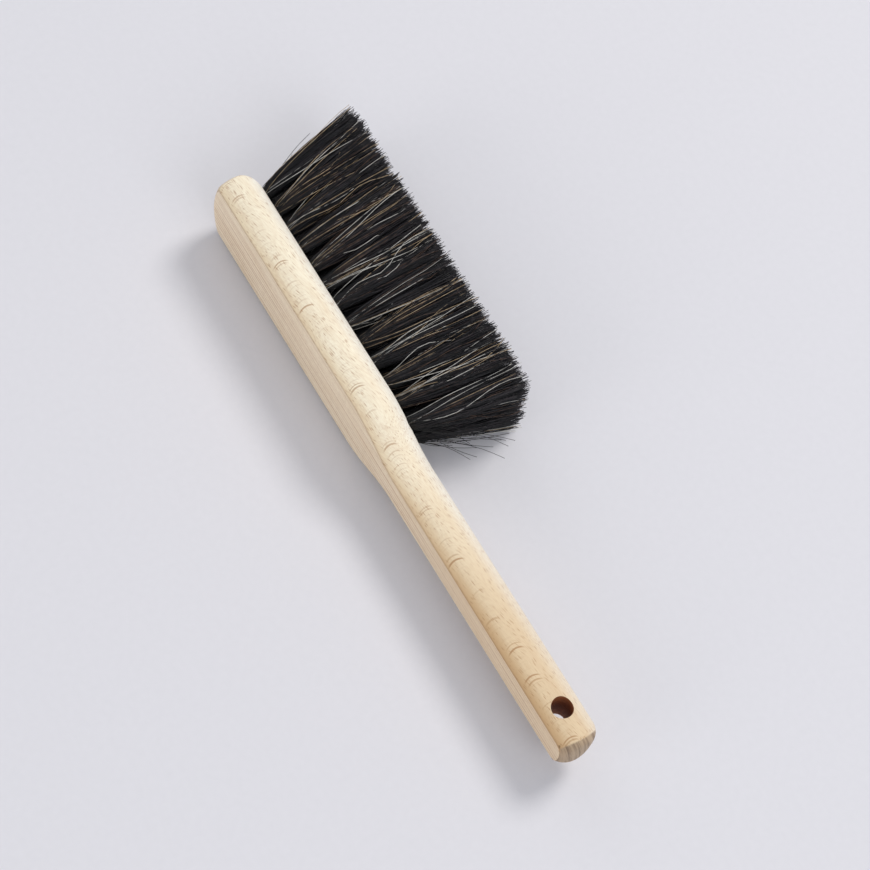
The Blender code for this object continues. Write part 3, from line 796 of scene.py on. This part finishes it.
def hair_mesh(name, paths, kind):
    """Closed three-sided tubes along the paths, blunt where they are trimmed."""
    count, points = paths.shape[:2]
    ahead = np.gradient(paths, axis=1)
    ahead /= np.linalg.norm(ahead, axis=2, keepdims=True)
    side = np.cross(ahead, (0.0, 0.0, 1.0))
    side /= np.linalg.norm(side, axis=2, keepdims=True)
    upward = np.cross(side, ahead)
    thinning = np.linspace(1.0, TIP_THICKNESS, points)[None, :, None]
    radius = np.array(RADII)[kind][:, None, None] * thinning
    rings = []
    for step in range(HAIR_SIDES):
        angle = 2 * math.pi * step / HAIR_SIDES
        rings.append(paths + radius * (side * math.cos(angle) + upward * math.sin(angle)))
    places = np.stack(rings, axis=2).reshape(-1, 3)
    start = np.arange(count)[:, None, None] * points * HAIR_SIDES
    ring = np.arange(points - 1)[None, :, None] * HAIR_SIDES
    step = np.arange(HAIR_SIDES)[None, None, :]
    after = (step + 1) % HAIR_SIDES
    quads = np.stack([start + ring + step, start + ring + after, start + ring + HAIR_SIDES + after,
                      start + ring + HAIR_SIDES + step], axis=3).reshape(-1, 4)
    first = (np.arange(count) * points * HAIR_SIDES)[:, None]
    foot = first + np.arange(HAIR_SIDES)[::-1][None]
    head = first + (points - 1) * HAIR_SIDES + np.arange(HAIR_SIDES)[None]
    mesh = bpy.data.meshes.new(name)
    mesh.vertices.add(len(places))
    mesh.vertices.foreach_set("co", places.astype(np.float32).ravel())
    mesh.loops.add(quads.size + foot.size + head.size)
    mesh.loops.foreach_set("vertex_index", np.concatenate([quads.ravel(), foot.ravel(), head.ravel()]))
    sizes = np.concatenate([np.full(len(quads), 4), np.full(len(foot) + len(head), HAIR_SIDES)])
    mesh.polygons.add(len(sizes))
    mesh.polygons.foreach_set("loop_start", np.concatenate([[0], np.cumsum(sizes)[:-1]]))
    per_hair = np.repeat(kind, (points - 1) * HAIR_SIDES)
    mesh.polygons.foreach_set("material_index", np.concatenate([per_hair, kind, kind]).astype(np.int32))
    mesh.update(calc_edges=True)
    mesh.validate()
    mesh.shade_smooth()
    return mesh


def make_tufts():
    """One piece for each tuft: its hairs, and strays at the two ends of every row."""
    finishes = [
        hair_material("black_horsehair", "#050408", "#0e0c15", 0.34),
        hair_material("charcoal_horsehair", "#18151b", "#352d31", 0.36),
        hair_material("brown_horsehair", "#2b1e19", "#5c4436", 0.42),
        hair_material("tan_horsehair", "#9c8466", "#c9b291", 0.45),
        hair_material("grey_horsehair", "#b9b6b0", "#e6e4de", 0.45),
    ]
    for index, name in enumerate(TUFTS):
        paths, kind = hair_paths(name, HAIR_SEED + index)
        row = [other for other in TUFTS if other[:ROW_NAME_LENGTH] == name[:ROW_NAME_LENGTH]]
        for edge, count, direction in ((row[-1], STRAYS_AT_HANDLE, 1), (row[0], STRAYS_AT_TOE, -1)):
            if name == edge:
                strays, stray_kind = stray_paths(name, STRAY_SEED + index, count, direction)
                paths = np.concatenate([paths, strays])
                kind = np.concatenate([kind, stray_kind])
        tuft = bpy.data.objects.new("hair_" + name, hair_mesh("hair_" + name, paths, kind))
        bpy.context.scene.collection.objects.link(tuft)
        for finish in finishes:
            tuft.data.materials.append(finish)
        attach(tuft, "root")
        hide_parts(name)


# ---------------------------------------------------------------------------------------------------
# Floor, light and camera
# ---------------------------------------------------------------------------------------------------
FLOOR_SIZE = 12.0
FLOOR_TOOTH_RATE = 300.0
# Each soft box: direction it stands in, height angle, distance, diameter, power in watts and colour.
KEY_BOX = (math.radians(101), math.radians(54), 3.3, 1.26, 53.0, (1.0, 0.97, 0.92))
FRONT_BOX = (math.radians(-90), math.radians(20), 2.2, 1.3, 7.5, (1.0, 0.985, 0.96))
HANDLE_BOX = (math.radians(0), math.radians(38), 3.0, 2.0, 20.0, (0.97, 0.985, 1.0))
TOE_BOX = (math.radians(180), math.radians(38), 3.0, 2.0, 5.0, (0.97, 0.985, 1.0))
SURROUND_COLOUR = (0.915, 0.95, 1.0, 1.0)
SURROUND_STRENGTH = 0.480
CAMERA_PLACE = Vector((0.3060, -0.2943, 0.8608))
CAMERA_AIM = Vector((0.0015, -0.0063, 0.0215))
CAMERA_ROLL = math.radians(14.09)
CAMERA_LENS = 89.23
CAMERA_SENSOR = 36.0


def make_floor():
    """A plain pale sheet of matt paper."""
    deselect()
    bpy.ops.mesh.primitive_plane_add(size=FLOOR_SIZE, location=(0, 0, 0))
    floor = bpy.context.object
    floor.name = "studio_floor"
    material, tree, shader = new_material("matt_paper_floor")
    place = add_node(tree, "ShaderNodeTexCoord").outputs["Object"]
    tooth = add_node(tree, "ShaderNodeTexNoise", {"Vector": place, "Scale": FLOOR_TOOTH_RATE,
                                                  "Detail": 2.0})
    colour = add_node(tree, "ShaderNodeMix", {0: tooth.outputs[0], 6: linear("#dbdae0"),
                                              7: linear("#dfdee4")}, data_type="RGBA")
    tree.links.new(colour.outputs[2], shader.inputs["Base Color"])
    shader.inputs["Roughness"].default_value = 0.95
    shader.inputs["Specular IOR Level"].default_value = 0.1
    floor.data.materials.append(material)


def make_soft_box(name, side, height, distance, size, power, colour):
    """A round soft box that faces the brush."""
    aim = Vector((0.0, 0.0, HEAD_HALF_WIDTH))
    level = Vector((math.cos(side), math.sin(side), 0.0))
    towards = level * math.cos(height) + Vector((0.0, 0.0, math.sin(height)))
    light = bpy.data.lights.new(name, "AREA")
    light.shape = "DISK"
    light.size = size
    light.energy = power
    light.color = colour
    lamp = bpy.data.objects.new(name, light)
    lamp.location = aim + towards * distance
    lamp.rotation_mode = "QUATERNION"
    lamp.rotation_quaternion = (-towards).to_track_quat("-Z", "Y")
    bpy.context.scene.collection.objects.link(lamp)


def make_light():
    """A key soft box above the bristle side, three weak ones lower round it, and an even surround."""
    make_soft_box("key_soft_box", *KEY_BOX)
    make_soft_box("front_soft_box", *FRONT_BOX)
    make_soft_box("handle_soft_box", *HANDLE_BOX)
    make_soft_box("toe_soft_box", *TOE_BOX)
    world = bpy.data.worlds.new("studio")
    bpy.context.scene.world = world
    world.use_nodes = True
    background = world.node_tree.nodes["Background"]
    background.inputs["Color"].default_value = SURROUND_COLOUR
    background.inputs["Strength"].default_value = SURROUND_STRENGTH


def make_camera():
    """The camera above the brush, turned about its own line of sight to lay the brush aslant."""
    data = bpy.data.cameras.new("camera")
    data.lens = CAMERA_LENS
    data.sensor_width = CAMERA_SENSOR
    data.clip_start = 0.01
    data.clip_end = 20.0
    camera = bpy.data.objects.new("camera", data)
    camera.location = CAMERA_PLACE
    camera.rotation_mode = "QUATERNION"
    look = (CAMERA_AIM - CAMERA_PLACE).to_track_quat("-Z", "Y")
    camera.rotation_quaternion = look @ Quaternion((0, 0, 1), CAMERA_ROLL)
    bpy.context.scene.collection.objects.link(camera)
    bpy.context.scene.camera = camera
    bpy.context.scene.view_settings.view_transform = "Standard"


make_camera()
make_body()
make_tufts()
make_floor()
make_light()
